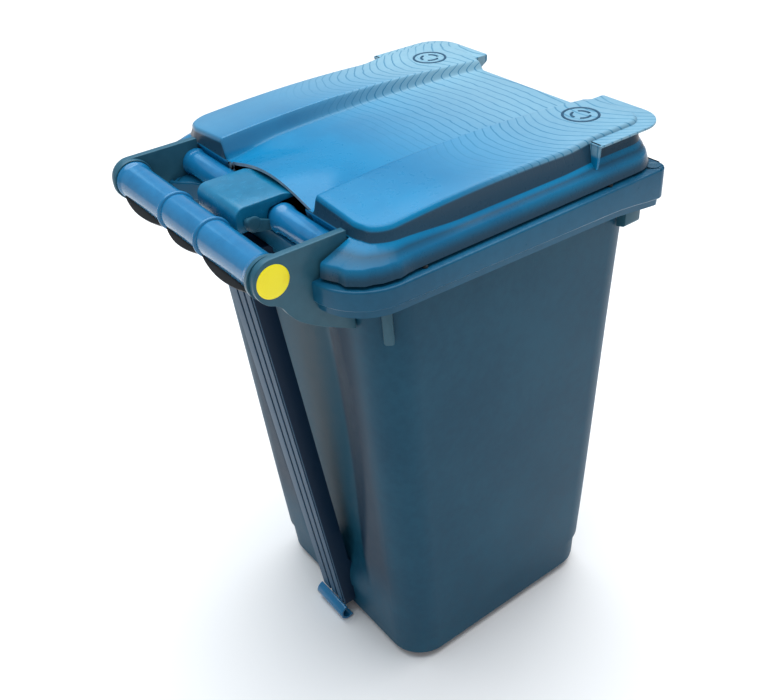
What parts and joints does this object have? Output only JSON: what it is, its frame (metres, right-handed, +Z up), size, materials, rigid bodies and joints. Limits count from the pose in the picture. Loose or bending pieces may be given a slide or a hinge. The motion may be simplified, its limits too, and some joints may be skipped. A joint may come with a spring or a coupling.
{
  "type": "litter bin",
  "caption": "Tapered plastic litter bin with a rear grip handle, grooved rear column with a hooked foot, and a lid that swings up on a rear pin.",
  "frame": {"origin": "middle of the bounding box's underside, on the floor", "axes": "+Z up, -Y towards the front of the lid (the grip wings), +Y towards the handle, X along the handle and the hinge pin"},
  "size_m": [0.4, 0.4775, 0.6576],
  "materials": {
    "body_plastic": "moulded, fine grain",
    "lid_plastic": "glossy moulded",
    "handle_plastic": "glossy moulded",
    "black_grips": "matte",
    "yellow_caps": "smooth",
    "rubber_pads": "matte",
    "steel": "brushed"
  },
  "bodies": {
    "tub": {"arm_far": "body_plastic", "arm_near": "body_plastic", "base_foot_1": "rubber_pads", "base_foot_2": "rubber_pads", "base_foot_3": "rubber_pads", "base_foot_4": "rubber_pads", "base_hook": "body_plastic", "boss_far": "handle_plastic", "boss_near": "handle_plastic", "cap_far": "yellow_caps", "cap_near": "yellow_caps", "collar_far": "handle_plastic", "collar_near": "handle_plastic", "column": "body_plastic", "comb_bracket_far": "body_plastic", "comb_bracket_near": "body_plastic", "finger_grip_far": "black_grips", "finger_grip_mid": "black_grips", "finger_grip_near": "black_grips", "handle_tube": "handle_plastic", "hinge_ear_far": "body_plastic", "hinge_ear_near": "body_plastic", "hinge_pin": "steel", "pin_clip_far": "steel", "pin_clip_near": "steel", "rear_bead": "handle_plastic", "rim_collar": "body_plastic", "rim_plug": "body_plastic", "side_rib_far": "body_plastic", "side_rib_near": "body_plastic", "tub_shell": "body_plastic"},
    "lid": {"hinge_yoke": "lid_plastic", "lid_buffer_1": "rubber_pads", "lid_buffer_2": "rubber_pads", "lid_buffer_3": "rubber_pads", "lid_buffer_4": "rubber_pads", "lid_hood": "lid_plastic", "lid_pan": "lid_plastic", "lid_rail_far": "lid_plastic", "lid_rail_near": "lid_plastic", "lid_wing_far": "lid_plastic", "lid_wing_near": "lid_plastic", "wing_web_far": "lid_plastic", "wing_web_near": "lid_plastic", "wing_end_far": "lid_plastic", "wing_end_near": "lid_plastic"}
  },
  "joints": [
    {"name": "lid_hinge", "type": "hinge", "parent": "tub", "child": "lid", "pos_m": [0, 0.1775, 0.619], "axis": [-1, 0, 0], "range_deg": [0, 115]}
  ]
}
